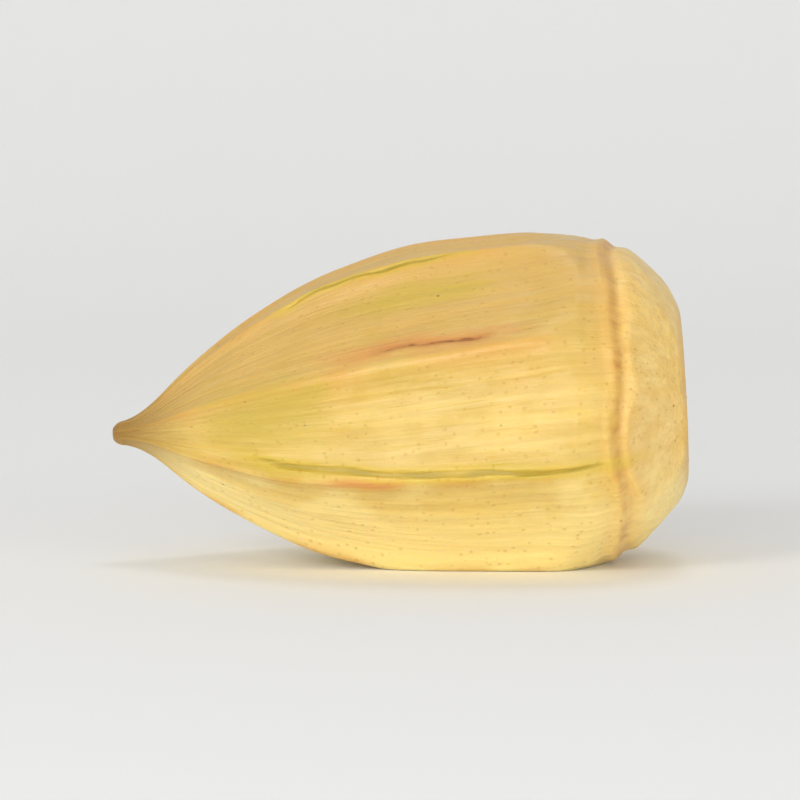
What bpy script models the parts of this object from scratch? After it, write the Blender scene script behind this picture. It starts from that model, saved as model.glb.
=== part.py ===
"""A pickled baby okra pod, lying on its side.

The pod is one grown body. Eight low ribs run from the scar ring, where the calyx was, to a
short beak. Past the ring is the cap, a dome that a knife has pared in flats, and the cut
face of the stem. The pod lies on the patch where its soft flesh flattens.

Units are metres. +X runs from the beak to the stem end and +Z is up. The origin is the
middle of the footprint, on the surface that the pod lies on.
"""

import math

import bmesh
import bpy
from mathutils import Matrix, Vector

MM = 0.001

# Overall size: places along the axis are measured from the tip of the beak
LENGTH = 25.5 * MM
BELLY_RADIUS = 7.9 * MM
BELLY_AT = 18.5 * MM
RING_RADIUS = 7.05 * MM
RING_AT = 22.1 * MM
FACE_RADIUS = 3.8 * MM

# Taper from belly to beak: a higher power is a blunter pod
TAPER_FROM = 0.7 * MM
TAPER_POWER = 2.4

# Beak: a rounded end that flares into the taper
BEAK_LENGTH = 1.3 * MM
BEAK_RADIUS = 0.55 * MM
BEAK_FLARE = 0.3
BEAK_BLEND = 0.6 * MM

# Ribs, with the flutes between them
RIBS = 8
RIB_DEPTH_SHARE = 0.1
FLUTE_POWER = 2.5
CREST_ROUNDNESS = 0.1
FLUTE_TOP_GAP = 0.4 * MM
FLUTE_ARCH = 1.5 * MM
FLUTE_FADE = 3.0 * MM

# Scar ring: a low ridge with a groove on its cap side
RING_RISE = 0.16 * MM
RING_WIDTH = 0.3 * MM
GROOVE_DEPTH = 0.14 * MM
GROOVE_OFFSET = 0.55 * MM

# Cap dome, and the flats that a knife pared on it
DOME_POWER = 1.9
DOME_ROOT = 0.8
PARINGS = 7
PARING_TILT = math.radians(47)
PARING_TOUCH = 0.58
PARING_DEPTH = 0.3 * MM
PARING_BLEND = 0.12 * MM
PARING_REACH = math.radians(72)

# Cut face of the stem: a rim round a slightly sunken pith
RIM_WIDTH = 0.8 * MM
PITH_SLOPE_WIDTH = 0.18 * MM
PITH_DEPTH = 0.26 * MM

# Unevenness of growth, as waves round the pod: (waves in a turn, amount, phase)
GIRTH_WAVES = ((2, 0.012, 0.9), (5, 0.007, 2.6))
FLUTE_WAVES = ((1, 0.14, 0.7), (3, 0.1, 1.9))
CREST_WAVES = ((1, 0.05, 1.1), (2, 0.03, 0.4), (3, 0.045, 0.4))
RING_WAVES = ((5, 0.12 * MM, 0.4), (8, 0.07 * MM, 2.1))
PARING_WAVES = ((3, 0.15, 0.5),)
PARING_DEPTH_WAVES = ((2, 0.35, 1.0),)
CREST_SWAY = 0.02
CREST_SWAY_LENGTH = 4.1 * MM
CREST_SWAY_TURNS = 2

# How the pod has grown and how it lies
ROLL = math.radians(-1.5)
TWIST = math.radians(7)
DROOP = 0.5 * MM
SIDE_BEND = 0.35 * MM
LYING_TILT = math.radians(3)
SAG = 0.28 * MM

# Mesh density round the pod: the crowding draws points towards the rib crests
STEPS_PER_RIB = 10
CREST_CROWDING = 0.3

# Mesh density along it: a crowding over 1 sets more of a stretch's points near its beak end
BEAK_STEPS = 6
BEAK_CROWDING = 1.6
BODY_STEPS = 16
BODY_CROWDING = 1.15
ARCH_STEPS = 8
RING_STEPS = 8
RING_LEAD = 0.9 * MM
DOME_STEPS = 7
SMALLEST = 0.01 * MM

# Finish
SKIN_COLOUR = (0.66, 0.47, 0.11, 1.0)
SKIN_ROUGHNESS = 0.4
SMOOTH_ANGLE = math.radians(50)


def smooth_step(value):
    """0 below 0, 1 above 1, and an even curve between them."""
    value = min(max(value, 0.0), 1.0)
    return value * value * (3.0 - 2.0 * value)


def smooth_min(a, b, blend):
    """The lower of two lengths, rounded over where they cross."""
    share = min(max(0.5 + 0.5 * (b - a) / blend, 0.0), 1.0)
    return b + (a - b) * share - blend * share * (1.0 - share)


def smooth_max(a, b, blend):
    """The higher of two lengths, rounded over where they cross."""
    return -smooth_min(-a, -b, blend)


def ripple(turn, waves):
    """Sum of a few waves at an angle round the pod."""
    return sum(amount * math.sin(count * turn + phase) for count, amount, phase in waves)


def beak_radius(along):
    """Radius of the beak: a rounded end that widens a little towards the body."""
    end = min(along / BEAK_RADIUS, 1.0)
    dome = math.sqrt(1.0 - (1.0 - end) ** 2)
    return BEAK_RADIUS * dome + BEAK_FLARE * max(along - BEAK_RADIUS, 0.0)


def body_radius(along):
    """Radius over the rib crests between the beak and the scar ring."""
    if along > BELLY_AT:
        share = (along - BELLY_AT) / (RING_AT - BELLY_AT)
        return BELLY_RADIUS - (BELLY_RADIUS - RING_RADIUS) * share**2
    share = max(along - TAPER_FROM, 0.0) / (BELLY_AT - TAPER_FROM)
    taper = BELLY_RADIUS * (1.0 - (1.0 - share) ** TAPER_POWER)
    return smooth_max(beak_radius(along), taper, BEAK_BLEND)


def dome_radius(along):
    """Radius of the cap before it is pared."""
    share = min((along - RING_AT) / (LENGTH - RING_AT), 1.0)
    fall = (1.0 - share**DOME_POWER) ** DOME_ROOT
    return FACE_RADIUS + (RING_RADIUS - FACE_RADIUS) * fall


def outline_radius(along):
    """Radius over the crests anywhere along the pod."""
    return body_radius(along) if along <= RING_AT else dome_radius(along)


def rib_drop(along, turn):
    """How far the skin lies below the crests, at an angle round the pod.

    The middle of a flute is at turn 0, so another one faces down, where the pod lies.
    """
    phase = (turn * RIBS / math.tau + 0.5) % 1.0
    across = 2.0 * min(phase, 1.0 - phase)
    soft = math.hypot(across, CREST_ROUNDNESS) - CREST_ROUNDNESS
    soft /= math.hypot(1.0, CREST_ROUNDNESS) - CREST_ROUNDNESS
    flute = 1.0 - (1.0 - soft) ** FLUTE_POWER
    top = RING_AT - FLUTE_TOP_GAP - FLUTE_ARCH * (1.0 - across) ** 2
    reach = smooth_step((top - along) / FLUTE_FADE)
    depth = RIB_DEPTH_SHARE * body_radius(min(along, RING_AT)) * (1.0 + ripple(turn, FLUTE_WAVES))
    return depth * flute * reach


def ring_rise(along, turn):
    """Height of the scar ring's ridge, less the depth of the groove beside it."""
    from_ridge = along - RING_AT - ripple(turn, RING_WAVES)
    ridge = math.exp(-((from_ridge / RING_WIDTH) ** 2))
    groove = math.exp(-(((from_ridge - GROOVE_OFFSET) / RING_WIDTH) ** 2))
    return RING_RISE * ridge - GROOVE_DEPTH * groove


def pared(radius, along, turn):
    """The cap's radius once each knife cut has taken its flat off the dome."""
    if along <= RING_AT:
        return radius
    tilt_sin, tilt_cos = math.sin(PARING_TILT), math.cos(PARING_TILT)
    touch = RING_AT + PARING_TOUCH * (LENGTH - RING_AT)
    reach = touch * tilt_sin + dome_radius(touch) * tilt_cos
    for cut in range(PARINGS):
        even = math.tau * cut / PARINGS
        lean = math.cos(turn - even - ripple(even, PARING_WAVES))
        depth = PARING_DEPTH * (1.0 + ripple(even, PARING_DEPTH_WAVES))
        if lean > math.cos(PARING_REACH):
            flat = (reach - depth - along * tilt_sin) / (tilt_cos * lean)
            radius = smooth_min(radius, flat, PARING_BLEND)
    return radius


def grown_radius(along, turn):
    """Radius of the finished skin at a distance along the pod and an angle round it."""
    crests = outline_radius(along) * (1.0 + ripple(turn, GIRTH_WAVES))
    return pared(crests - rib_drop(along, turn) + ring_rise(along, turn), along, turn)


def spread(start, end, steps, power):
    """Places after a start, up to and with an end: a power over 1 crowds them to the start."""
    return [start + (end - start) * (step / steps) ** power for step in range(1, steps + 1)]


def stations():
    """Distances along the pod at which the outline has a point, beak first."""
    arch_from = RING_AT - FLUTE_TOP_GAP - FLUTE_ARCH - FLUTE_FADE
    ring_from = RING_AT - RING_LEAD
    dome_from = RING_AT + GROOVE_OFFSET + RING_WIDTH
    beak = spread(0.0, BEAK_LENGTH, BEAK_STEPS, BEAK_CROWDING)
    body = spread(BEAK_LENGTH, arch_from, BODY_STEPS, BODY_CROWDING)
    arch = spread(arch_from, ring_from, ARCH_STEPS, 1.0)
    ring = spread(ring_from, dome_from, RING_STEPS, 1.0)
    dome = [
        dome_from + (LENGTH - dome_from) * math.sin(0.25 * math.tau * step / DOME_STEPS)
        for step in range(1, DOME_STEPS + 1)
    ]
    return beak + body + arch + ring + dome


def outline():
    """The half outline, from the beak's tip to the middle of the cut face."""
    skin = [(along, outline_radius(along)) for along in stations()]
    rim = FACE_RADIUS - RIM_WIDTH
    pith = rim - PITH_SLOPE_WIDTH
    sunk = LENGTH - PITH_DEPTH
    face = [(LENGTH, rim), (sunk, pith), (sunk, pith / 2.0), (sunk, 0.0)]
    return [(0.0, 0.0)] + skin + face


def turned_blank():
    """Spins the outline about the X axis into a plain round pod."""
    blank = bmesh.new()
    verts = [blank.verts.new((along, radius, 0.0)) for along, radius in outline()]
    edges = [blank.edges.new(pair) for pair in zip(verts, verts[1:])]
    bmesh.ops.spin(
        blank,
        geom=verts + edges,
        cent=(0.0, 0.0, 0.0),
        axis=(1.0, 0.0, 0.0),
        angle=math.tau,
        steps=RIBS * STEPS_PER_RIB,
        use_merge=True,
    )
    bmesh.ops.remove_doubles(blank, verts=blank.verts, dist=0.1 * SMALLEST)
    return blank


def grow(blank):
    """Gives the blank its ribs, ring and pared cap, then its twist and bend.

    The blank's points are crowded towards the crests first, where the skin turns most.
    """
    for vert in blank.verts:
        along, radius = vert.co.x, math.hypot(vert.co.y, vert.co.z)
        turn = math.atan2(vert.co.z, vert.co.y)
        turn += CREST_CROWDING / RIBS * math.sin(RIBS * turn)
        on_cut_face = along > BELLY_AT and radius < FACE_RADIUS
        skin_at = LENGTH if on_cut_face else max(along, SMALLEST)
        radius *= grown_radius(skin_at, turn) / outline_radius(skin_at)
        sway = CREST_SWAY * math.sin(along / CREST_SWAY_LENGTH + CREST_SWAY_TURNS * turn)
        twist = TWIST * (BELLY_AT - along) / LENGTH
        facing = turn + ripple(turn, CREST_WAVES) + sway + twist + ROLL
        from_stem = 1.0 - along / LENGTH
        vert.co.y = radius * math.cos(facing) + SIDE_BEND * from_stem**2
        vert.co.z = radius * math.sin(facing) - DROOP * from_stem**2


def lay_down(pod):
    """Tips the pod beak down, presses it on the surface and centres its footprint."""
    tip_over = Matrix.Rotation(-LYING_TILT, 3, "Y")
    bmesh.ops.rotate(pod, verts=pod.verts, cent=(0.0, 0.0, 0.0), matrix=tip_over)
    lowest = min(vert.co.z for vert in pod.verts)
    bmesh.ops.translate(pod, verts=pod.verts, vec=(0.0, 0.0, -lowest - SAG))
    for vert in pod.verts:
        vert.co.z = max(vert.co.z, 0.0)
    middle = Vector((0.0, 0.0, 0.0))
    for axis in (0, 1):
        places = [vert.co[axis] for vert in pod.verts]
        middle[axis] = (min(places) + max(places)) / 2.0
    bmesh.ops.translate(pod, verts=pod.verts, vec=-middle)


def skin_material():
    """Satin, golden-olive skin."""
    material = bpy.data.materials.new("pod_skin")
    material.use_nodes = True
    shader = material.node_tree.nodes["Principled BSDF"]
    shader.inputs["Base Color"].default_value = SKIN_COLOUR
    shader.inputs["Roughness"].default_value = SKIN_ROUGHNESS
    shader.inputs["Metallic"].default_value = 0.0
    return material


def okra_pod():
    """Builds the pod as one object."""
    pod = turned_blank()
    grow(pod)
    lay_down(pod)
    bmesh.ops.triangulate(pod, faces=pod.faces)
    bmesh.ops.recalc_face_normals(pod, faces=pod.faces)
    mesh = bpy.data.meshes.new("okra_pod")
    pod.to_mesh(mesh)
    pod.free()
    mesh.materials.append(skin_material())
    mesh.shade_smooth()
    mesh.set_sharp_from_angle(angle=SMOOTH_ANGLE)
    thing = bpy.data.objects.new("okra_pod", mesh)
    bpy.context.scene.collection.objects.link(thing)
    return thing


def main():
    """Clears the scene and builds the pod."""
    for thing in list(bpy.data.objects):
        bpy.data.objects.remove(thing, do_unlink=True)
    okra_pod()


main()
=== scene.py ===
"""Looks of a pickled baby okra pod that lies on its side.

The pod is one piece. Its blank is an outline spun about the X axis, and the form, the marks
and the soft relief of the flesh then move every point of it. What the finish needs to know
about a point, such as how near it is to a scar, is kept as an attribute of the mesh.
"""

import logging
import math
from dataclasses import dataclass
from enum import Enum
from typing import Any, ClassVar

import bmesh
import bpy
import numpy as np
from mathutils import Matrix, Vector, noise


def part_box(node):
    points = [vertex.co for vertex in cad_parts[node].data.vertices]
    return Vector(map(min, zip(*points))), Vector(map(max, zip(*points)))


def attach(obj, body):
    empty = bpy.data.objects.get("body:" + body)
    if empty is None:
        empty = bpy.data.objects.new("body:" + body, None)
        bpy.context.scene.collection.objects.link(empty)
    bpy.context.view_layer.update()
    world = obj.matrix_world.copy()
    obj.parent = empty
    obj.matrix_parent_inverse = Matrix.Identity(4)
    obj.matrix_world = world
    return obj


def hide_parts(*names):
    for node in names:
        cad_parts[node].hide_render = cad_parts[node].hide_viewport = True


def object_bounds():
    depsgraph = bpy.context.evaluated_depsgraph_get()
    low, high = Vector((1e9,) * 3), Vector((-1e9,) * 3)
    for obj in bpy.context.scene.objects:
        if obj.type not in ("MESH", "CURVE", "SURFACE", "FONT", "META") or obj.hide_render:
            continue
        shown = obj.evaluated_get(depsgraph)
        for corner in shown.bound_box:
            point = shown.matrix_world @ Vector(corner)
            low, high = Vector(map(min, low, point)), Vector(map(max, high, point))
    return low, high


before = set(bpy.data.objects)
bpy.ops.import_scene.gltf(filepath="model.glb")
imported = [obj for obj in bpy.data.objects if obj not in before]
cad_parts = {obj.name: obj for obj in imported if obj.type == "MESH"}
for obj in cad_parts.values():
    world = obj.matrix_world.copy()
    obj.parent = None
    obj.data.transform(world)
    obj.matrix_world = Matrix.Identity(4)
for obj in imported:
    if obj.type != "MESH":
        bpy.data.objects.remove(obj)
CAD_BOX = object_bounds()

MM = 0.001
NODE = "okra_pod"
TINY = 0.001 * MM
log = logging.getLogger("okra_pod")

Array = np.ndarray
Triple = tuple[float, float, float]
Colour = tuple[float, float, float, float]
Waves = tuple[tuple[int, float, float], ...]
Socket = bpy.types.NodeSocket
Inputs = dict[int | str, Any]


def ease(value: Array) -> Array:
    """Goes evenly from 0 to 1 as a value does, and stays level past both."""
    value = np.clip(value, 0.0, 1.0)
    return value * value * (3.0 - 2.0 * value)


def lower_of(first: Array, second: Array, blend: float) -> Array:
    """The lower of two lengths, rounded over where they cross.

    Args:
        first: Lengths.
        second: Lengths to compare them with.
        blend: Length over which the crossing is rounded.

    Returns:
        The rounded lower lengths.
    """
    share = np.clip(0.5 + 0.5 * (second - first) / blend, 0.0, 1.0)
    return second + (first - second) * share - blend * share * (1.0 - share)


def ripple(turn: Array | float, waves: Waves) -> Array | float:
    """Sum of waves round the pod, each given as its count in a turn, amount and phase."""
    return sum(amount * np.sin(count * turn + phase) for count, amount, phase in waves)


def spread(start: float, end: float, steps: int, crowding: float = 1.0) -> list[float]:
    """Places after a start, up to and with an end: a crowding over 1 draws them to the start."""
    return [start + (end - start) * (step / steps) ** crowding for step in range(1, steps + 1)]


def bell(value: Array, width: float) -> Array:
    """1 at zero, falling away to both sides within about a width."""
    return np.exp(-((value / width) ** 2))


def grain(points: Array, seed: float) -> Array:
    """Smooth noise at each point.

    Args:
        points: One point a row, in units of the noise's own grain size.
        seed: Moves the pattern, so that two grains differ.

    Returns:
        A value from about -1 to 1 for each point.
    """
    return np.array([noise.noise(Vector(point) + Vector((seed, -seed, seed))) for point in points])


def tone(red: int, green: int, blue: int) -> Colour:
    """A colour as it is seen, out of 255, in the linear values that a shader takes."""
    seen = (red / 255.0, green / 255.0, blue / 255.0)
    low, scale = 0.04045, 12.92
    linear = [c / scale if c <= low else ((c + 0.055) / 1.055) ** 2.4 for c in seen]
    return (linear[0], linear[1], linear[2], 1.0)


def meshed(shape: bmesh.types.BMesh, name: str) -> bpy.types.Mesh:
    """Turns a shape's faces outwards and keeps it as a mesh."""
    bmesh.ops.recalc_face_normals(shape, faces=shape.faces)
    mesh = bpy.data.meshes.new(name)
    shape.to_mesh(mesh)
    shape.free()
    return mesh


def placed(name: str, data: bpy.types.ID) -> bpy.types.Object:
    """Puts a new object in the scene."""
    item = bpy.data.objects.new(name, data)
    bpy.context.scene.collection.objects.link(item)
    return item


class Trait(Enum):
    """What the mesh knows about each of its points."""

    PLACE = "place"
    ALONG = "along"
    CREST = "crest"
    CAP = "cap"
    RING = "ring"
    STREAK = "streak"
    SEAM = "seam"
    BLUSH = "blush"
    GREEN = "green"
    FACE = "face"
    VESSEL = "vessel"


@dataclass(frozen=True)
class PodForm:
    """The pod's main form, in metres: places along the axis are measured from the beak."""

    length: float = 25.5 * MM
    belly_radius: float = 7.9 * MM
    belly_at: float = 18.5 * MM
    ring_radius: float = 7.05 * MM
    ring_at: float = 22.1 * MM
    face_radius: float = 3.8 * MM
    taper_from: float = 0.7 * MM
    taper_power: float = 2.4
    beak_length: float = 1.3 * MM
    beak_radius: float = 0.55 * MM
    beak_flare: float = 0.3
    beak_blend: float = 0.6 * MM
    ribs: int = 8
    rib_depth_share: float = 0.1
    flute_power: float = 2.5
    crest_roundness: float = 0.1
    flute_top_gap: float = 0.4 * MM
    flute_arch: float = 1.5 * MM
    flute_fade: float = 3.0 * MM
    ring_rise: float = 0.16 * MM
    ring_width: float = 0.3 * MM
    groove_depth: float = 0.14 * MM
    groove_offset: float = 0.55 * MM
    dome_power: float = 1.9
    dome_root: float = 0.8
    parings: int = 7
    paring_tilt: float = math.radians(47)
    paring_touch: float = 0.58
    paring_depth: float = 0.3 * MM
    paring_blend: float = 0.12 * MM
    paring_reach: float = math.radians(72)
    rim_width: float = 0.8 * MM
    pith_slope_width: float = 0.18 * MM
    pith_depth: float = 0.26 * MM
    girth_waves: Waves = ((2, 0.012, 0.9), (5, 0.007, 2.6))
    flute_waves: Waves = ((1, 0.14, 0.7), (3, 0.1, 1.9))
    crest_waves: Waves = ((1, 0.05, 1.1), (2, 0.03, 0.4), (3, 0.045, 0.4))
    ring_waves: Waves = ((5, 0.12 * MM, 0.4), (8, 0.07 * MM, 2.1))
    paring_waves: Waves = ((3, 0.15, 0.5),)
    paring_depth_waves: Waves = ((2, 0.35, 1.0),)
    crest_sway: float = 0.02
    crest_sway_length: float = 4.1 * MM
    crest_sway_turns: int = 2
    roll: float = math.radians(-1.5)
    twist: float = math.radians(7)
    droop: float = 0.5 * MM
    side_bend: float = 0.35 * MM
    lying_tilt: float = math.radians(3)

    def body_radius(self, along: Array) -> Array:
        """Radius over the rib crests between the beak and the scar ring."""
        end = np.clip(along / self.beak_radius, 0.0, 1.0)
        beak = self.beak_radius * np.sqrt(1.0 - (1.0 - end) ** 2)
        beak = beak + self.beak_flare * np.maximum(along - self.beak_radius, 0.0)
        share = np.clip((along - self.taper_from) / (self.belly_at - self.taper_from), 0.0, 1.0)
        taper = self.belly_radius * (1.0 - (1.0 - share) ** self.taper_power)
        narrow = -lower_of(-beak, -taper, self.beak_blend)
        past = np.clip((along - self.belly_at) / (self.ring_at - self.belly_at), 0.0, 1.0)
        wide = self.belly_radius - (self.belly_radius - self.ring_radius) * past**2
        return np.where(along > self.belly_at, wide, narrow)

    def dome_radius(self, along: Array | float) -> Array:
        """Radius of the cap before it is pared."""
        share = np.clip((along - self.ring_at) / (self.length - self.ring_at), 0.0, 1.0)
        fall = (1.0 - share**self.dome_power) ** self.dome_root
        return self.face_radius + (self.ring_radius - self.face_radius) * fall

    def outline_radius(self, along: Array) -> Array:
        """Radius over the crests anywhere along the pod."""
        return np.where(along > self.ring_at, self.dome_radius(along), self.body_radius(along))

    def across_flute(self, turn: Array) -> Array:
        """0 on a rib's crest and 1 in the middle of a flute."""
        phase = (turn * self.ribs / math.tau + 0.5) % 1.0
        return 2.0 * np.minimum(phase, 1.0 - phase)

    def flute_reach(self, along: Array, turn: Array) -> Array:
        """1 in a flute's full depth, falling to 0 at the arch that ends it."""
        top = self.ring_at - self.flute_top_gap
        top = top - self.flute_arch * (1.0 - self.across_flute(turn)) ** 2
        return ease((top - along) / self.flute_fade)

    def flute_drop(self, along: Array, turn: Array) -> Array:
        """How far the skin lies below the crests."""
        round_by = self.crest_roundness
        soft = np.hypot(self.across_flute(turn), round_by) - round_by
        soft = soft / (math.hypot(1.0, round_by) - round_by)
        flute = 1.0 - (1.0 - soft) ** self.flute_power
        depth = self.rib_depth_share * self.body_radius(np.minimum(along, self.ring_at))
        depth = depth * (1.0 + ripple(turn, self.flute_waves))
        return depth * flute * self.flute_reach(along, turn)

    def from_ridge(self, along: Array, turn: Array) -> Array:
        """Distance past the scar ring's ridge, towards the stem."""
        return along - self.ring_at - ripple(turn, self.ring_waves)

    def ring_height(self, along: Array, turn: Array) -> Array:
        """Height of the scar ring's ridge, less the depth of the groove beside it."""
        past = self.from_ridge(along, turn)
        ridge = self.ring_rise * bell(past, self.ring_width)
        return ridge - self.groove_depth * bell(past - self.groove_offset, self.ring_width)

    def pared(self, radius: Array, along: Array, turn: Array) -> Array:
        """The radius once each knife cut has taken its flat off the cap.

        Args:
            radius: Radius before the cuts.
            along: Distances from the beak.
            turn: Angles round the pod.

        Returns:
            The radius after the cuts, which only touch what lies past the scar ring.
        """
        tilt_sin, tilt_cos = math.sin(self.paring_tilt), math.cos(self.paring_tilt)
        touch = self.ring_at + self.paring_touch * (self.length - self.ring_at)
        reach = touch * tilt_sin + float(self.dome_radius(touch)) * tilt_cos
        left = radius
        for cut in range(self.parings):
            even = math.tau * cut / self.parings
            lean = np.cos(turn - even - ripple(even, self.paring_waves))
            depth = self.paring_depth * (1.0 + ripple(even, self.paring_depth_waves))
            near = lean > math.cos(self.paring_reach)
            flat = (reach - depth - along * tilt_sin) / (tilt_cos * np.where(near, lean, 1.0))
            left = np.where(near, lower_of(left, flat, self.paring_blend), left)
        return np.where(along > self.ring_at, left, radius)

    def skin_radius(self, along: Array, turn: Array) -> Array:
        """Radius of the main form at distances along the pod and angles round it."""
        crests = self.outline_radius(along) * (1.0 + ripple(turn, self.girth_waves))
        radius = crests - self.flute_drop(along, turn) + self.ring_height(along, turn)
        return self.pared(radius, along, turn)

    def crest_turn(self, rib: float) -> float:
        """Angle of a rib's crest: whole numbers are ribs, halves are the flutes between."""
        return math.tau * (rib + 0.5) / self.ribs

    def lie(self, along: Array, turn: Array, radius: Array) -> Array:
        """Carries points from the straight pod to the bent one that lies on its side.

        Args:
            along: Distances from the beak.
            turn: Angles round the pod.
            radius: Distances from the axis.

        Returns:
            One point a row, not yet lowered onto the surface.
        """
        sway = along / self.crest_sway_length + self.crest_sway_turns * turn
        facing = turn + ripple(turn, self.crest_waves) + self.crest_sway * np.sin(sway) + self.roll
        facing = facing + self.twist * (self.belly_at - along) / self.length
        from_stem = 1.0 - along / self.length
        side = radius * np.cos(facing) + self.side_bend * from_stem**2
        up = radius * np.sin(facing) - self.droop * from_stem**2
        tilt_sin, tilt_cos = math.sin(self.lying_tilt), math.cos(self.lying_tilt)
        forward, risen = along * tilt_cos - up * tilt_sin, up * tilt_cos + along * tilt_sin
        return np.column_stack((forward, side, risen))


class MarkKind(Enum):
    """The kinds of mark that growth, handling and pickling leave on a pod."""

    STREAK = Trait.STREAK
    SEAM = Trait.SEAM
    BLUSH = Trait.BLUSH
    GREEN = Trait.GREEN


@dataclass(frozen=True)
class Mark:
    """One mark: a long spindle on the skin, in metres, placed by the rib that it follows.

    Its middle line lies a shift beside the rib's crest, and a lean carries it further aside
    for each metre along. The line wanders in waves, each given as its share of the wobble, its
    pace and its phase for each rib.
    """

    WANDERS: ClassVar[tuple[Triple, ...]] = ((1.0, 1.0, 3.0), (0.5, 2.7, 1.0))
    PATCH_ENDS: ClassVar[float] = 2.0
    LINE_ENDS: ClassVar[float] = 5.0
    FULL_AT: ClassVar[float] = 0.7
    LIP: ClassVar[float] = 0.35
    LIP_AT: ClassVar[float] = -0.35
    LIP_WIDTH: ClassVar[float] = 0.3
    OUTSIDE: ClassVar[float] = -2.0

    kind: MarkKind
    rib: float
    start: float
    end: float
    width: float
    depth: float = 0.0
    shift: float = 0.0
    lean: float = 0.0
    wobble: float = 0.07 * MM
    wobble_length: float = 0.9 * MM

    def reach(self, form: PodForm, along: Array, turn: Array) -> Array:
        """How far inside the mark each point is.

        Args:
            form: The pod that bears the mark.
            along: Distances from the beak.
            turn: Angles round the pod.

        Returns:
            1 on the mark's middle line, 0 on its edge and less outside.
        """
        middle, half = (self.start + self.end) / 2.0, (self.end - self.start) / 2.0
        radius = form.body_radius(np.minimum(along, form.ring_at))
        way = along / self.wobble_length
        wander = sum(
            share * np.sin(pace * way + phase * self.rib) for share, pace, phase in self.WANDERS
        )
        aside = self.shift + self.lean * (along - middle) + self.wobble * wander
        line = form.crest_turn(self.rib) + aside / radius
        away = (turn - line + math.pi) % math.tau - math.pi
        lengthwise = np.abs((along - middle) / half)
        is_patch = self.kind in (MarkKind.BLUSH, MarkKind.GREEN)
        power = self.PATCH_ENDS if is_patch else self.LINE_ENDS
        sideways = np.abs(away) * radius / (self.width / 2.0)
        return 1.0 - np.hypot(lengthwise**power, sideways)

    def sinking(self, inside: Array) -> Array:
        """How far the mark sinks into the skin, less the low lip along its edge."""
        lip = self.LIP * bell(inside - self.LIP_AT, self.LIP_WIDTH)
        return self.depth * (ease(inside / self.FULL_AT) - lip)


@dataclass(frozen=True)
class Relief:
    """Soft unevenness of preserved flesh: grain sizes and heights in metres."""

    swell_size: float = 3.6 * MM
    swell: float = 0.13 * MM
    swell_seed: float = 3.1
    cord_size: float = 0.85 * MM
    cord_length: float = 8.0 * MM
    cord: float = 0.05 * MM
    cord_seed: float = 7.7
    fibre_size: float = 0.34 * MM
    fibre_length: float = 3.0 * MM
    fibre: float = 0.018 * MM
    fibre_seed: float = 12.3
    pucker_size: float = 0.5 * MM
    pucker_length: float = 2.2 * MM
    pucker: float = 0.05 * MM
    pucker_seed: float = 5.9
    pucker_before: float = 0.6 * MM
    pucker_reach: float = 1.3 * MM
    keel: float = 0.1 * MM
    keel_width: float = 0.15
    keel_fade: float = 2.5 * MM
    calm_radius: float = 3.0 * MM
    dents: tuple[tuple[float, float, float, float], ...] = (
        (9.5 * MM, 3.55, 2.0 * MM, 0.16 * MM),
        (15.5 * MM, 1.5, 2.6 * MM, 0.2 * MM),
        (12.0 * MM, 7.4, 2.4 * MM, 0.22 * MM),
        (18.5 * MM, 6.6, 1.8 * MM, 0.12 * MM),
    )

    def height(self, form: PodForm, place: Array, along: Array, turn: Array) -> Array:
        """Height of the relief above the main form.

        Args:
            form: The pod that bears it.
            place: The points on the straight, untapered pod.
            along: Their distances from the beak.
            turn: Their angles round the pod.

        Returns:
            One height for each point.
        """
        cords = place / np.array((self.cord_length, self.cord_size, self.cord_size))
        fibres = place / np.array((self.fibre_length, self.fibre_size, self.fibre_size))
        puckers = place / np.array((self.pucker_size, self.pucker_length, self.pucker_length))
        near_ring = bell(form.from_ridge(along, turn) + self.pucker_before, self.pucker_reach)
        rise = self.swell * grain(place / self.swell_size, self.swell_seed)
        rise += self.cord * (0.5 - 2.0 * np.abs(grain(cords, self.cord_seed)))
        rise += self.fibre * grain(fibres, self.fibre_seed)
        rise += self.pucker * near_ring * grain(puckers, self.pucker_seed)
        below_ring = ease((form.ring_at - along) / self.keel_fade)
        rise += self.keel * bell(form.across_flute(turn), self.keel_width) * below_ring
        for at, rib, size, depth in self.dents:
            aside = (turn - form.crest_turn(rib) + math.pi) % math.tau - math.pi
            away = np.hypot(along - at, aside * form.belly_radius)
            rise -= depth * bell(away, size)
        body = form.body_radius(np.minimum(along, form.ring_at))
        return rise * ease(body / self.calm_radius)


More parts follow.
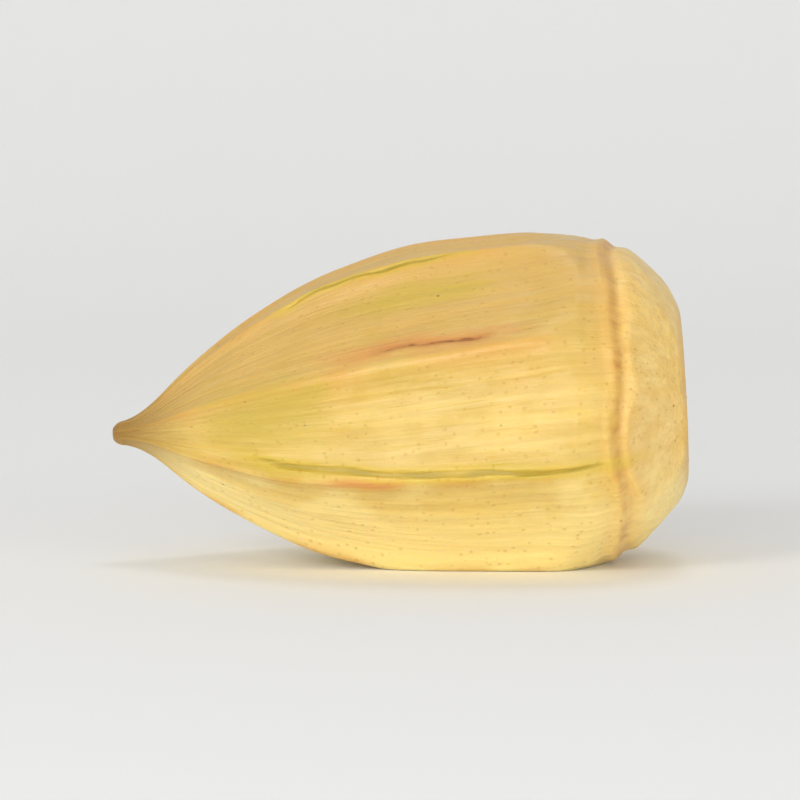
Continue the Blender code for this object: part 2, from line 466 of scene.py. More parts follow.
@dataclass(frozen=True)
class CutFace:
    """Relief of the cut stem face, in metres: a rim, a ring of fibre bundles and the pith."""

    bundles: int = 30
    bundle_at: float = 0.87
    bundle_width: float = 0.045
    bundle_rise: float = 0.08 * MM
    bundle_sway: Waves = ((4, 0.02, 0.0),)
    bundle_waves: Waves = ((3, 2.2, 0.0), (5, 1.4, 1.0))
    bundle_size: float = 0.7
    bundle_size_waves: Waves = ((8, 0.3, 0.4),)
    sponge_size: float = 0.3 * MM
    sponge: float = 0.07 * MM
    sponge_fade: float = 0.2
    sponge_seed: float = 33.0
    dish: float = 0.14 * MM
    lip: float = 0.06 * MM
    lip_at: float = 0.98
    lip_width: float = 0.08
    knife: float = 0.012 * MM
    knife_spacing: float = 0.08 * MM
    knife_slant: float = 0.5
    knife_waver: float = 3.0
    uneven: float = 0.06 * MM
    uneven_size: float = 0.7 * MM
    uneven_seed: float = 21.0
    edge_fade: float = 0.1

    def vessels(self, share: Array, turn: Array) -> Array:
        """1 on the end of a fibre bundle and 0 elsewhere.

        Args:
            share: Distances from the middle, as a share of the face's radius.
            turn: Angles round the face.

        Returns:
            One value for each point.
        """
        ring = bell(share - self.bundle_at - ripple(turn, self.bundle_sway), self.bundle_width)
        spacing = self.bundles * turn + ripple(turn, self.bundle_waves)
        size = self.bundle_size + ripple(turn, self.bundle_size_waves)
        return ring * (0.5 + 0.5 * np.cos(spacing)) * size

    def depth(self, form: PodForm, share: Array, turn: Array, place: Array) -> Array:
        """Depth below the plane of the cut.

        Args:
            form: The pod whose stem was cut.
            share: Distances from the middle, as a share of the face's radius.
            turn: Angles round the face.
            place: The points on the straight pod, which the unevenness follows.

        Returns:
            One depth for each point.
        """
        rim = 1.0 - form.rim_width / form.face_radius
        pith = rim - form.pith_slope_width / form.face_radius
        sunk = form.pith_depth * ease((rim - share) / (rim - pith))
        sunk = sunk + self.dish * np.maximum(1.0 - (share / pith) ** 2, 0.0)
        sunk = sunk + self.lip * ease((self.lip_at - share) / self.lip_width)
        sunk = sunk - self.bundle_rise * self.vessels(share, turn)
        cloud = grain(place / self.uneven_size, self.uneven_seed)
        holes = np.abs(grain(place / self.sponge_size, self.sponge_seed))
        sponge = self.sponge * holes * ease((pith - share) / self.sponge_fade)
        stroke = (place[:, 1] + self.knife_slant * place[:, 2]) / self.knife_spacing
        strokes = self.knife * np.sin(stroke + self.knife_waver * cloud)
        rough = (self.uneven * cloud + strokes) * ease((1.0 - share) / self.edge_fade)
        return sunk + sponge + rough


@dataclass(frozen=True)
class MeshDensity:
    """How many steps the spun blank has, and where they crowd."""

    steps_per_rib: int = 50
    crest_crowding: float = 0.35
    beak: int = 14
    beak_crowding: float = 1.6
    body: int = 124
    body_crowding: float = 1.1
    ring: int = 34
    ring_lead: float = 1.6 * MM
    dome: int = 30
    face: int = 33


class NodeSheet:
    """A node tree, with short calls for the nodes that the finishes use most."""

    def __init__(self, tree: bpy.types.NodeTree) -> None:
        """Starts on a tree."""
        self.tree = tree

    @classmethod
    def surface(cls, name: str) -> tuple[bpy.types.Material, "NodeSheet", bpy.types.Node]:
        """Starts a material: gives it, its sheet and its shader."""
        material = bpy.data.materials.new(name)
        material.use_nodes = True
        sheet = cls(material.node_tree)
        return material, sheet, sheet.tree.nodes["Principled BSDF"]

    def feed(self, socket: Socket, value: Any) -> None:
        """Links a socket to another, or sets its own value."""
        if isinstance(value, Socket):
            self.tree.links.new(value, socket)
        else:
            socket.default_value = value

    def feed_all(self, node: bpy.types.Node, inputs: Inputs) -> None:
        """Feeds several inputs of a node, by name or index."""
        for name, value in inputs.items():
            self.feed(node.inputs[name], value)

    def add(self, kind: str, inputs: Inputs | None = None, **settings: Any) -> bpy.types.Node:
        """Adds a node.

        Args:
            kind: Blender's name of the node's type.
            inputs: Values or sockets for its inputs, by name or index.
            **settings: The node's own properties.

        Returns:
            The new node.
        """
        node = self.tree.nodes.new(kind)
        for name, value in settings.items():
            setattr(node, name, value)
        self.feed_all(node, inputs or {})
        return node

    def trait(self, trait: Trait) -> Socket:
        """What the mesh knows about the point."""
        node = self.add("ShaderNodeAttribute", attribute_name=trait.value)
        return node.outputs["Vector" if trait is Trait.PLACE else "Fac"]

    def math(self, operation: str, first: Any, second: Any) -> Socket:
        """One sum on two numbers."""
        return self.add("ShaderNodeMath", {0: first, 1: second}, operation=operation).outputs[0]

    def plus(self, value: Any, *parts: tuple[Any, float]) -> Any:
        """Adds parts to a value, each given as a number and the share of it that is added."""
        for part, share in parts:
            value = self.math("ADD", value, self.math("MULTIPLY", part, share))
        return value

    def band(self, value: Any, low: float, high: float) -> Socket:
        """Goes evenly from 0 at one value to 1 at another."""
        inputs = {"Value": value, "From Min": low, "From Max": high}
        return self.add("ShaderNodeMapRange", inputs, interpolation_type="SMOOTHSTEP").outputs[0]

    def mix(self, share: Any, first: Any, second: Any) -> Socket:
        """Mixes two colours."""
        node = self.add("ShaderNodeMix", data_type="RGBA")
        self.feed_all(node, {0: share, 6: first, 7: second})
        return node.outputs[2]

    def layers(self, colour: Any, *coats: tuple[Any, Any, Any]) -> Any:
        """Lays coats over a colour, each given as its own colour, its mask and its share."""
        for coat, mask, share in coats:
            colour = self.mix(self.math("MULTIPLY", mask, share), colour, coat)
        return colour

    def stretch(self, vector: Any, scale: Triple) -> Socket:
        """Scales a place by its own amount along each axis."""
        node = self.add("ShaderNodeVectorMath", {0: vector, 1: scale}, operation="MULTIPLY")
        return node.outputs[0]

    def noise(self, vector: Any, scale: Any, detail: float) -> Socket:
        """Smooth noise from about 0.25 to 0.75, with grains 1 / scale across."""
        inputs = {"Vector": vector, "Scale": scale, "Detail": detail}
        return self.add("ShaderNodeTexNoise", inputs).outputs[0]

    def bump(self, height: Any, strength: float, distance: float) -> Socket:
        """Turns a height into a slant of the surface, for relief too fine for the mesh."""
        inputs = {"Height": height, "Strength": strength, "Distance": distance}
        return self.add("ShaderNodeBump", inputs).outputs[0]

    def effect(self, group: bpy.types.NodeTree, place: Any, scale: float) -> Socket:
        """Places a shared effect and gives its mask."""
        inputs = {"Place": place, "Scale": scale}
        return self.add("ShaderNodeGroup", inputs, node_tree=group).outputs["Mask"]


class SharedEffects:
    """Node groups that more than one finish uses, each built once."""

    SOCKETS: ClassVar[tuple[tuple[str, str, str], ...]] = (
        ("Place", "INPUT", "NodeSocketVector"),
        ("Scale", "INPUT", "NodeSocketFloat"),
        ("Mask", "OUTPUT", "NodeSocketFloat"),
    )

    def __init__(self) -> None:
        """Builds the groups."""
        self.blotches = self.make_blotches()
        self.fibres = self.make_fibres()

    def start(self, name: str) -> tuple[NodeSheet, Any, Any]:
        """Starts a group that takes a place and a scale and gives a mask.

        Args:
            name: The group's name.

        Returns:
            The group's sheet, its input sockets and its output's socket.
        """
        tree = bpy.data.node_groups.new(name, "ShaderNodeTree")
        for label, way, kind in self.SOCKETS:
            tree.interface.new_socket(name=label, in_out=way, socket_type=kind)
        sheet = NodeSheet(tree)
        given = sheet.add("NodeGroupInput").outputs
        return sheet, given, sheet.add("NodeGroupOutput").inputs["Mask"]

    def make_blotches(self) -> bpy.types.NodeTree:
        """Soft cloudy patches, such as pickling leaves in flesh."""
        sheet, given, mask = self.start("blotches")
        cloud = sheet.noise(given["Place"], given["Scale"], 4.0)
        sheet.feed(mask, sheet.band(cloud, 0.36, 0.64))
        return sheet.tree

    def make_fibres(self) -> bpy.types.NodeTree:
        """Fine lines that run along the pod."""
        sheet, given, mask = self.start("fibres")
        drawn_out = sheet.stretch(given["Place"], (0.13, 1.6, 1.6))
        line = sheet.noise(drawn_out, given["Scale"], 5.0)
        sheet.feed(mask, sheet.band(line, 0.33, 0.67))
        return sheet.tree


@dataclass(frozen=True)
class Edge:
    """How a mark's mask fades in: where it starts, where it is full and how far it is frayed.

    All three are measured from 0 on the mark's edge to 1 on its middle line.
    """

    start: float
    full: float
    fray: float


@dataclass(frozen=True)
class SkinFinish:
    """Satin, softly translucent skin: golden olive, with a paler cap and brown scars, and painted
    shade on its top and painted light on its underside.
    """

    golden: Colour = tone(230, 192, 92)
    olive: Colour = tone(211, 176, 74)
    green: Colour = tone(196, 170, 60)
    pale: Colour = tone(234, 207, 126)
    # The next two are painted shade for the top of the pod and painted light for its underside,
    # not colours the skin has.
    tan: Colour = tone(204, 162, 90)
    under: Colour = tone(250, 226, 148)
    vein: Colour = tone(190, 150, 58)
    crest: Colour = tone(214, 164, 74)
    tip: Colour = tone(168, 128, 52)
    cap: Colour = tone(242, 212, 136)
    cap_shade: Colour = tone(232, 194, 110)
    blush: Colour = tone(212, 142, 74)
    rust: Colour = tone(186, 122, 54)
    bark: Colour = tone(128, 72, 32)
    seam: Colour = tone(176, 149, 30)
    smear: Colour = tone(212, 180, 48)
    tinge: Colour = tone(228, 176, 84)
    green_edge: Edge = Edge(-0.4, 1.0, 1.6)
    blush_edge: Edge = Edge(-0.1, 1.1, 1.4)
    tinge_edge: Edge = Edge(-3.2, 1.0, 2.0)
    stain_edge: Edge = Edge(-0.5, 1.2, 1.8)
    halo_edge: Edge = Edge(-1.6, 0.6, 1.8)
    core_edge: Edge = Edge(0.1, 0.5, 2.6)
    smear_edge: Edge = Edge(-2.0, 0.3, 1.2)
    seam_edge: Edge = Edge(0.0, 0.7, 1.8)
    fray_along: Triple = (0.4, 2.6, 2.6)
    fray_round: Triple = (2.4, 0.8, 0.8)
    dot_core: float = 0.4
    dot_blend: float = 0.04
    roughness: float = 0.34
    subsurface: float = 0.45
    subsurface_radius: Triple = (1.0, 0.6, 0.2)
    subsurface_scale: float = 0.9 * MM
    coat: float = 0.18
    coat_roughness: float = 0.34

    def inside(self, sheet: NodeSheet, trait: Trait, edge: Edge) -> Any:
        """A mark's mask, with its edge frayed along the fibres, or round the pod at the ring.

        Args:
            sheet: Where the nodes go.
            trait: The mark's attribute.
            edge: How the mask fades in.

        Returns:
            The mask's socket.
        """
        fray = self.fray_round if trait is Trait.RING else self.fray_along
        place = sheet.stretch(sheet.trait(Trait.PLACE), fray)
        ragged = sheet.math("SUBTRACT", sheet.noise(place, 1.2, 6.0), 0.5)
        reach = sheet.plus(sheet.trait(trait), (ragged, edge.fray))
        return sheet.band(reach, edge.start, edge.full)

    def flesh(self, sheet: NodeSheet, shared: SharedEffects) -> Any:
        """Colour of the sound skin, before its scars, with painted shade darkening its top and
        painted light paling its underside.
        """
        place = sheet.trait(Trait.PLACE)
        clouds = sheet.effect(shared.blotches, place, scale=0.28)
        spots = sheet.effect(shared.blotches, place, scale=1.1)
        bands = sheet.effect(shared.fibres, place, scale=0.55)
        lines = sheet.effect(shared.fibres, place, scale=1.7)
        along = sheet.trait(Trait.ALONG)
        # Painted shade and light: by height round the pod, the top is tinted darker tan and the
        # underside paler, as the light falls.
        up = sheet.add("ShaderNodeSeparateXYZ", {"Vector": place}).outputs[2]
        up = sheet.plus(up, (clouds, 2.0))
        below = sheet.band(up, -1.8, -4.6)
        on_crest = sheet.band(sheet.trait(Trait.CREST), 0.72, 1.0)
        colour = sheet.layers(
            sheet.mix(clouds, self.olive, self.golden),
            (self.pale, spots, 0.3),
            (self.pale, bands, 0.45),
            (self.vein, lines, 0.3),
            (self.tan, sheet.band(up, 0.5, 7.5), 0.68),
            (self.under, below, 0.8),
            (self.crest, on_crest, sheet.band(clouds, -0.2, 1.4)),
            (self.green, self.inside(sheet, Trait.GREEN, self.green_edge), 0.7),
            (self.tip, sheet.band(along, 0.16, 0.0), 1.0),
        )
        cap = sheet.layers(
            self.cap_shade,
            (self.cap, spots, 0.6),
            # Painted light: the cap's underside is paled like the skin's.
            (self.under, below, 0.8),
            (self.vein, lines, 0.16),
            (self.crest, sheet.band(along, 0.985, 1.0), 0.6),
        )
        return sheet.mix(sheet.trait(Trait.CAP), colour, cap)

    def scarred(self, sheet: NodeSheet, flesh: Any, streak: Any, seam: Any) -> Any:
        """Adds the scars to the flesh's colour.

        Args:
            sheet: Where the nodes go.
            flesh: Colour of the sound skin.
            streak: Mask of the streaks' dark cores.
            seam: Mask of the thin seams.

        Returns:
            The colour's socket.
        """
        uneven = sheet.noise(sheet.trait(Trait.PLACE), 1.6, 3.0)
        stain = self.inside(sheet, Trait.RING, self.stain_edge)
        stain = sheet.math("MULTIPLY", stain, sheet.band(uneven, 0.25, 0.75))
        core = sheet.mix(sheet.band(uneven, 0.35, 0.65), self.bark, self.rust)
        along_pod = sheet.stretch(sheet.trait(Trait.PLACE), (0.3, 0.8, 0.8))
        unbroken = sheet.band(sheet.noise(along_pod, 1.0, 2.0), 0.3, 0.62)
        return sheet.layers(
            flesh,
            (self.blush, self.inside(sheet, Trait.BLUSH, self.blush_edge), 0.75),
            (self.tinge, self.inside(sheet, Trait.RING, self.tinge_edge), 0.42),
            (self.rust, stain, 0.72),
            (self.rust, self.inside(sheet, Trait.STREAK, self.halo_edge), 0.6),
            (self.smear, self.inside(sheet, Trait.SEAM, self.smear_edge), 0.65),
            (core, streak, 0.9),
            (self.seam, seam, unbroken),
        )

    def dots(self, sheet: NodeSheet, scale: float, size: float, share: float) -> Any:
        """Mask of small dots that are scattered over the skin.

        Args:
            sheet: Where the nodes go.
            scale: Dots in each millimetre, if none were left out.
            size: A dot's radius, as a share of the space between dots.
            share: The share of the dots that is kept.

        Returns:
            The mask's socket.
        """
        inputs = {"Vector": sheet.trait(Trait.PLACE), "Scale": scale}
        cells = sheet.add("ShaderNodeTexVoronoi", inputs)
        near = sheet.band(cells.outputs["Distance"], size, self.dot_core * size)
        chance = sheet.add("ShaderNodeSeparateColor", {"Color": cells.outputs["Color"]}).outputs[0]
        limit = 1.0 - share
        kept = sheet.band(chance, limit - self.dot_blend, limit + self.dot_blend)
        return sheet.math("MULTIPLY", near, kept)

    def material(self, shared: SharedEffects) -> bpy.types.Material:
        """Builds the skin's material.

        Args:
            shared: Effects that other finishes use too.

        Returns:
            The material.
        """
        material, sheet, shader = NodeSheet.surface("pod_skin")
        place = sheet.trait(Trait.PLACE)
        streak = self.inside(sheet, Trait.STREAK, self.core_edge)
        seam = self.inside(sheet, Trait.SEAM, self.seam_edge)
        hair_roots = self.dots(sheet, scale=2.6, size=0.3, share=0.6)
        specks = self.dots(sheet, scale=0.8, size=0.085, share=0.24)
        colour = self.scarred(sheet, self.flesh(sheet, shared), streak, seam)
        colour = sheet.layers(colour, (self.vein, hair_roots, 0.3), (self.bark, specks, 0.7))
        lines = sheet.effect(shared.fibres, place, scale=2.4)
        pores = sheet.noise(place, 6.0, 2.0)
        raised = ((pores, 0.5), (hair_roots, 0.5), (streak, -0.6), (seam, -1.2))
        height = sheet.plus(sheet.math("MULTIPLY", lines, 0.6), *raised)
        sheet.feed_all(shader, {
            "Base Color": colour,
            "Roughness": sheet.plus(self.roughness, (lines, 0.1), (streak, 0.22), (pores, 0.1)),
            "Normal": sheet.bump(height, strength=0.8, distance=0.04 * MM),
            "Subsurface Weight": self.subsurface,
            "Subsurface Radius": self.subsurface_radius,
            "Subsurface Scale": self.subsurface_scale,
            "Coat Weight": self.coat,
            "Coat Roughness": self.coat_roughness,
        })
        return material


@dataclass(frozen=True)
class CutFinish:
    """Cut stem: pale, spongy pith with faint rays, in a ring of darker fibre bundles."""

    straw: Colour = tone(242, 220, 156)
    pith: Colour = tone(228, 196, 120)
    bundle: Colour = tone(186, 138, 66)
    rim: Colour = tone(216, 172, 92)
    roughness: float = 0.41
    subsurface: float = 0.25
    subsurface_radius: Triple = (1.0, 0.6, 0.25)
    subsurface_scale: float = 0.4 * MM

    def material(self, shared: SharedEffects) -> bpy.types.Material:
        """Builds the cut face's material.

        Args:
            shared: Effects that other finishes use too.

        Returns:
            The material.
        """
        material, sheet, shader = NodeSheet.surface("stem_cut")
        place = sheet.trait(Trait.PLACE)
        outward_share = sheet.trait(Trait.FACE)
        on_bundle = sheet.band(sheet.trait(Trait.VESSEL), 0.1, 0.9)
        clouds = sheet.effect(shared.blotches, place, scale=1.4)
        lines = sheet.effect(shared.fibres, place, scale=2.6)
        across = sheet.stretch(place, (0.0, 1.0, 1.0))
        outward = sheet.add("ShaderNodeVectorMath", {0: across}, operation="NORMALIZE").outputs[0]
        rays = sheet.band(sheet.noise(outward, 9.0, 4.0), 0.35, 0.65)
        rays = sheet.math("MULTIPLY", rays, sheet.band(outward_share, 0.15, 0.5))
        voronoi = sheet.add("ShaderNodeTexVoronoi", {"Vector": place, "Scale": 6.0})
        cells = voronoi.outputs["Distance"]
        colour = sheet.layers(
            sheet.mix(clouds, self.pith, self.straw),
            (self.rim, rays, 0.35),
            (self.rim, sheet.band(cells, 0.45, 0.1), 0.3),
            (self.rim, sheet.band(outward_share, 0.66, 0.8), 0.55),
            (self.bundle, on_bundle, 1.0),
            (self.bundle, sheet.band(outward_share, 0.95, 1.0), 0.8),
            (self.bundle, lines, 0.2),
        )
        height = sheet.plus(cells, (lines, 0.6), (rays, 0.6))
        sheet.feed_all(shader, {
            "Base Color": colour,
            "Roughness": sheet.plus(self.roughness, (lines, 0.15)),
            "Normal": sheet.bump(height, strength=0.9, distance=0.05 * MM),
            "Subsurface Weight": self.subsurface,
            "Subsurface Radius": self.subsurface_radius,
            "Subsurface Scale": self.subsurface_scale,
        })
        return material


@dataclass(frozen=True)
class Pod:
    """The whole pod: its form, its relief, its marks and its finishes."""

    form: PodForm = PodForm()
    relief: Relief = Relief()
    cut_face: CutFace = CutFace()
    density: MeshDensity = MeshDensity()
    skin: SkinFinish = SkinFinish()
    cut: CutFinish = CutFinish()
    crest_fade: float = 2.0 * MM
    cap_from: float = 0.25 * MM
    cap_fade: float = 0.5 * MM
    stain_at: float = 0.3 * MM
    stain_reach: float = 0.34 * MM
    stain_off_crests: float = 0.5
    calm_at_stem: float = 0.5 * MM
    face_edge: float = 0.999
    marks: tuple[Mark, ...] = (
        Mark(
            MarkKind.SEAM, 4.0, 6.4 * MM, 22.2 * MM, 0.36 * MM,
            depth=0.04 * MM, shift=-0.24 * MM, lean=0.05, wobble=0.03 * MM,
        ),
        Mark(MarkKind.GREEN, 4.0, 5.8 * MM, 9.6 * MM, 1.0 * MM, shift=-0.5 * MM),
        Mark(MarkKind.GREEN, 4.0, 15.4 * MM, 19.6 * MM, 0.8 * MM, shift=-0.2 * MM),
        Mark(MarkKind.BLUSH, 4.0, 8.8 * MM, 13.4 * MM, 0.9 * MM, shift=0.15 * MM),
        Mark(MarkKind.BLUSH, 3.0, 8.6 * MM, 19.4 * MM, 1.7 * MM, shift=-1.0 * MM),
        Mark(MarkKind.STREAK, 3.0, 12.0 * MM, 17.0 * MM, 0.32 * MM, 0.05 * MM, -0.9 * MM),
        Mark(MarkKind.GREEN, 3.3, 4.0 * MM, 10.0 * MM, 4.2 * MM),
        Mark(MarkKind.GREEN, 3.0, 7.4 * MM, 10.0 * MM, 1.2 * MM, shift=0.6 * MM),
        Mark(MarkKind.GREEN, 2.3, 10.0 * MM, 17.5 * MM, 1.8 * MM),
        Mark(MarkKind.SEAM, 2.0, 8.0 * MM, 16.0 * MM, 0.22 * MM, 0.03 * MM, 0.15 * MM),
        Mark(MarkKind.STREAK, 1.0, 12.5 * MM, 17.0 * MM, 0.34 * MM, 0.04 * MM, -0.5 * MM),
        Mark(
            MarkKind.SEAM, 0.5, 8.0 * MM, 19.0 * MM, 0.26 * MM,
            depth=0.04 * MM, shift=0.3 * MM, lean=0.06, wobble=0.04 * MM,
        ),
        Mark(MarkKind.BLUSH, 0.0, 5.5 * MM, 14.5 * MM, 1.5 * MM, shift=0.2 * MM),
        Mark(MarkKind.STREAK, 0.0, 6.5 * MM, 12.5 * MM, 0.34 * MM, 0.05 * MM, 0.2 * MM),
        Mark(MarkKind.STREAK, 7.0, 12.0 * MM, 19.0 * MM, 0.42 * MM, 0.05 * MM, -0.2 * MM),
        Mark(MarkKind.SEAM, 6.0, 6.0 * MM, 20.5 * MM, 0.24 * MM, 0.05 * MM),
        Mark(MarkKind.BLUSH, 7.0, 11.0 * MM, 15.0 * MM, 1.6 * MM, shift=0.4 * MM),
    )

    def stations(self) -> list[tuple[float, float]]:
        """The half outline: distance from the beak and radius, ending in mid-face."""
        form, steps = self.form, self.density
        body_end = form.ring_at - steps.ring_lead
        ring_end = form.ring_at + form.groove_offset + form.ring_width
        places = spread(0.0, form.beak_length, steps.beak, steps.beak_crowding)
        places += spread(form.beak_length, body_end, steps.body, steps.body_crowding)
        places += spread(body_end, ring_end, steps.ring)
        for angle in spread(0.0, math.pi / 2.0, steps.dome):
            places.append(ring_end + (form.length - ring_end) * math.sin(angle))
        radii = form.outline_radius(np.array(places))
        skin = [(place, float(radius)) for place, radius in zip(places, radii)]
        face = [(form.length, radius) for radius in spread(form.face_radius, 0.0, steps.face)]
        return [(0.0, 0.0), *skin, *face]

    def blank(self) -> bpy.types.Mesh:
        """Spins the half outline about the X axis into a plain round pod."""
        shape = bmesh.new()
        verts = [shape.verts.new((along, radius, 0.0)) for along, radius in self.stations()]
        edges = [shape.edges.new(pair) for pair in zip(verts, verts[1:])]
        bmesh.ops.spin(
            shape,
            geom=verts + edges,
            cent=(0.0, 0.0, 0.0),
            axis=(1.0, 0.0, 0.0),
            angle=math.tau,
            steps=self.form.ribs * self.density.steps_per_rib,
            use_merge=True,
        )
        bmesh.ops.remove_doubles(shape, verts=shape.verts, dist=0.5 * TINY)
        return meshed(shape, "pod")

    def traits(self, along: Array, turn: Array, share: Array) -> dict[Trait, Array]:
        """What the finishes need to know about each point.

        Args:
            along: Distances from the beak.
            turn: Angles round the pod.
            share: Distances from the axis, as a share of the outline's radius.

        Returns:
            The values of each trait, except the place.
        """
        form = self.form
        past = form.from_ridge(along, turn)
        off_crest = form.across_flute(turn)
        stain = 1.0 - np.abs(past - self.stain_at) / self.stain_reach
        found = {
            Trait.ALONG: along / form.length,
            Trait.CREST: (1.0 - off_crest) * ease((form.ring_at - along) / self.crest_fade),
            Trait.CAP: ease((past - self.cap_from) / self.cap_fade),
            Trait.RING: stain - self.stain_off_crests * off_crest,
            Trait.FACE: share,
            Trait.VESSEL: self.cut_face.vessels(share, turn),
        }
        for kind in MarkKind:
            reaches = [mark.reach(form, along, turn) for mark in self.marks if mark.kind is kind]
            found[kind.value] = np.clip(np.max(reaches, axis=0), Mark.OUTSIDE, 1.0)
        return found

    def shaped(self, mesh: bpy.types.Mesh) -> None:
        """Moves the blank's points to the skin and stores their traits.

        Args:
            mesh: The blank, which is changed.
        """
        form = self.form
        flat = np.empty(len(mesh.vertices) * 3, np.float32)
        mesh.vertices.foreach_get("co", flat)
        blank = flat.reshape(-1, 3).astype(float)
        along, radius = np.maximum(blank[:, 0], 0.0), np.hypot(blank[:, 1], blank[:, 2])
        turn = np.arctan2(blank[:, 2], blank[:, 1])
        turn = turn + self.density.crest_crowding / form.ribs * np.sin(form.ribs * turn)
        on_face = along > form.length - TINY
        skin_at = np.maximum(along, TINY)
        outline = form.outline_radius(skin_at)
        share = np.where(on_face, radius / form.face_radius, radius / outline)
        taper = np.where(along > form.ring_at, outline / form.ring_radius, 1.0)
        girth = taper * form.belly_radius * share
        place = np.column_stack((along, girth * np.cos(turn), girth * np.sin(turn)))
        found = self.traits(along, turn, share)
        skin_radius = form.skin_radius(skin_at, turn)
        plain = form.lie(along, turn, skin_radius * share)
        detail = self.relief.height(form, place, along, turn)
        for mark in self.marks:
            detail -= mark.sinking(mark.reach(form, along, turn))
        detail *= ease((form.length - along) / self.calm_at_stem)
        sunk = self.cut_face.depth(form, share, turn, place)
        deep = np.where(on_face, along - sunk, along)
        points = form.lie(deep, turn, (skin_radius + detail) * share)
        self.settle(points, plain)
        mesh.vertices.foreach_set("co", points.astype(np.float32).ravel())
        self.store(mesh, Trait.PLACE, place / MM)
        for trait, values in found.items():
            self.store(mesh, trait, values)
        mesh.update()

    def settle(self, points: Array, plain: Array) -> None:
        """Lowers the pod onto the surface, where its flesh flattens.

        Args:
            points: The finished points, which are moved.
            plain: The main form's points, which the solid of the same form was placed by.
        """
        low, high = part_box(NODE)
        middle = (np.array(low) + np.array(high)) / 2.0
        centre = (plain.min(axis=0) + plain.max(axis=0)) / 2.0
        points[:, :2] += middle[:2] - centre[:2]
        points[:, 2] += high.z - plain[:, 2].max()
        points[:, 2] = np.maximum(points[:, 2], low.z)

    @staticmethod
    def store(mesh: bpy.types.Mesh, trait: Trait, values: Array) -> None:
        """Keeps one trait of every point as an attribute of the mesh."""
        kind, slot = ("FLOAT_VECTOR", "vector") if values.ndim == 2 else ("FLOAT", "value")
        layer = mesh.attributes.new(trait.value, kind, "POINT")
        layer.data.foreach_set(slot, values.astype(np.float32).ravel())

    def dress(self, mesh: bpy.types.Mesh) -> None:
        """Gives the skin and the cut face their materials."""
        shared = SharedEffects()
        mesh.materials.append(self.skin.material(shared))
        mesh.materials.append(self.cut.material(shared))
        on_face = np.empty(len(mesh.vertices), np.float32)
        mesh.attributes[Trait.FACE.value].data.foreach_get("value", on_face)
        for polygon in mesh.polygons:
            polygon.use_smooth = True
            outermost = max(on_face[index] for index in polygon.vertices)
            polygon.material_index = int(outermost < self.face_edge)

    def build(self) -> None:
        """Builds the pod, rides it on the frame and puts it in its solid's place."""
        mesh = self.blank()
        self.shaped(mesh)
        self.dress(mesh)
        piece = placed("pod", mesh)
        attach(piece, "root")
        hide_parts(NODE)
        log.info("pod: %d points, %d faces", len(mesh.vertices), len(mesh.polygons))


@dataclass(frozen=True)
class Lamp:
    """A soft box: where it stands, its side length and its power."""

    name: str
    place: Triple
    side: float
    power: float

    def build(self, target: Vector) -> None:
        """Hangs the lamp and aims it at a point."""
        light = bpy.data.lights.new(self.name, "AREA")
        light.size = self.side
        light.energy = self.power
        lamp = placed(self.name, light)
        lamp.location = self.place
        lamp.rotation_euler = (target - lamp.location).to_track_quat("-Z", "Y").to_euler()


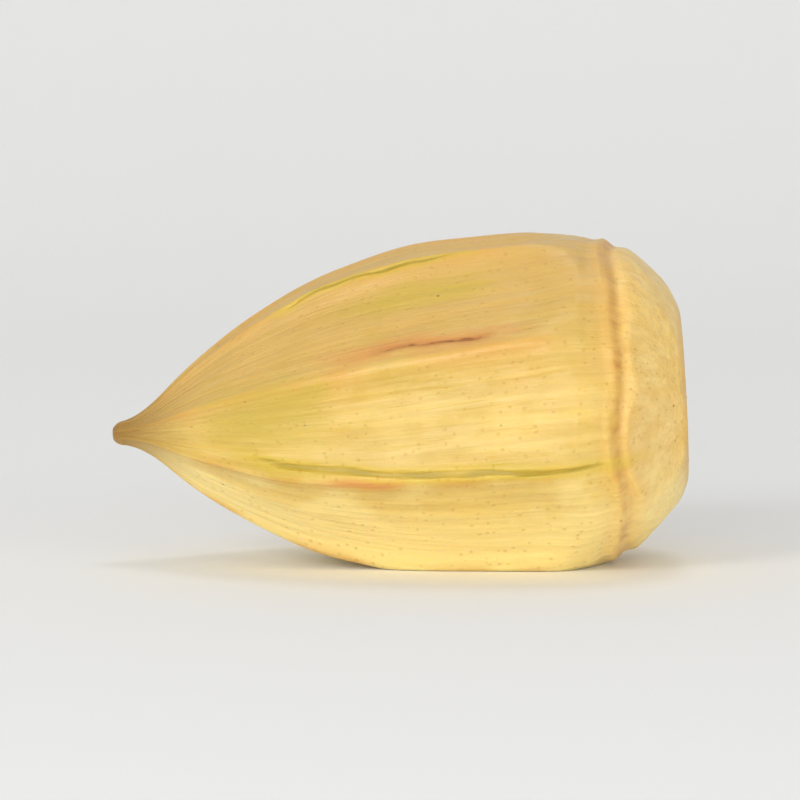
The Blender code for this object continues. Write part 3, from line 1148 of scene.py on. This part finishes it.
@dataclass(frozen=True)
class Studio:
    """A pale sweep, soft boxes and a camera at the level of the pod."""

    floor_half: float = 0.6
    floor_drop: float = 0.02 * MM
    sweep_radius: float = 0.2
    sweep_at: float = 0.1
    sweep_steps: int = 16
    wall_height: float = 0.6
    paper: Colour = (0.88, 0.88, 0.87, 1.0)
    paper_roughness: float = 0.85
    sky: Colour = (1.0, 1.0, 1.0, 1.0)
    sky_strength: float = 0.5
    camera_distance: float = 0.32
    camera_elevation: float = math.radians(6.0)
    frame_fill: float = 0.72
    sensor: float = 36.0
    clip_start: float = 0.01
    lamps: tuple[Lamp, ...] = (
        Lamp("key", (-0.26, -0.32, 0.2), 0.16, 0.62),
        Lamp("fill", (0.3, -0.3, 0.08), 0.2, 0.36),
        Lamp("low", (-0.04, -0.36, 0.02), 0.2, 0.78),
        Lamp("top", (0.04, 0.08, 0.4), 0.12, 0.2),
    )

    def floor(self) -> None:
        """Lays a sheet of paper that sweeps up behind the pod."""
        shape = bmesh.new()
        ends = (-self.floor_half, self.floor_half)
        near = [shape.verts.new((end, -self.floor_half, -self.floor_drop)) for end in ends]
        edge = shape.edges.new(near)
        path = [(self.sweep_at, -self.floor_drop)]
        for angle in spread(0.0, math.pi / 2.0, self.sweep_steps):
            back = self.sweep_at + self.sweep_radius * math.sin(angle)
            path.append((back, self.sweep_radius * (1.0 - math.cos(angle)) - self.floor_drop))
        path.append((path[-1][0], self.wall_height))
        for back, up in path:
            grown = bmesh.ops.extrude_edge_only(shape, edges=[edge])["geom"]
            edge = next(item for item in grown if isinstance(item, bmesh.types.BMEdge))
            for vert in edge.verts:
                vert.co.y, vert.co.z = back, up
        mesh = meshed(shape, "sweep")
        mesh.shade_smooth()
        material, sheet, shader = NodeSheet.surface("paper")
        sheet.feed_all(shader, {"Base Color": self.paper, "Roughness": self.paper_roughness})
        mesh.materials.append(material)
        sweep = placed("sweep", mesh)

    def world(self) -> None:
        """Fills the room with even light."""
        world = bpy.data.worlds.new("room")
        world.use_nodes = True
        background = world.node_tree.nodes["Background"]
        background.inputs["Color"].default_value = self.sky
        background.inputs["Strength"].default_value = self.sky_strength
        bpy.context.scene.world = world
        bpy.context.scene.view_settings.view_transform = "Standard"

    def camera(self, low: Vector, high: Vector) -> None:
        """Stands the camera level with the pod, at the photograph's viewing angle.

        Args:
            low: Lowest corner of the pod's box.
            high: Its highest corner.
        """
        target = (low + high) / 2.0
        flat = self.camera_distance * math.cos(self.camera_elevation)
        offset = Vector((0.0, -flat, self.camera_distance * math.sin(self.camera_elevation)))
        lens = bpy.data.cameras.new("camera")
        lens.sensor_width = lens.sensor_height = self.sensor
        lens.clip_start = self.clip_start
        shown = (high.x - low.x) / self.frame_fill
        lens.lens = lens.sensor_width * self.camera_distance / shown
        camera = placed("camera", lens)
        camera.location = target + offset
        camera.rotation_euler = (-offset).to_track_quat("-Z", "Y").to_euler()
        bpy.context.scene.camera = camera

    def build(self, low: Vector, high: Vector) -> None:
        """Builds the floor, the lights and the camera round the pod."""
        self.floor()
        self.world()
        for lamp in self.lamps:
            lamp.build((low + high) / 2.0)
        self.camera(low, high)
        log.info("studio: %d lamps", len(self.lamps))


def main() -> None:
    """Builds the pod and its studio."""
    logging.basicConfig(level=logging.INFO, format="%(name)s: %(message)s")
    Pod().build()
    Studio().build(*CAD_BOX)
    log.info("sizes written")


if __name__ == "__main__":
    main()
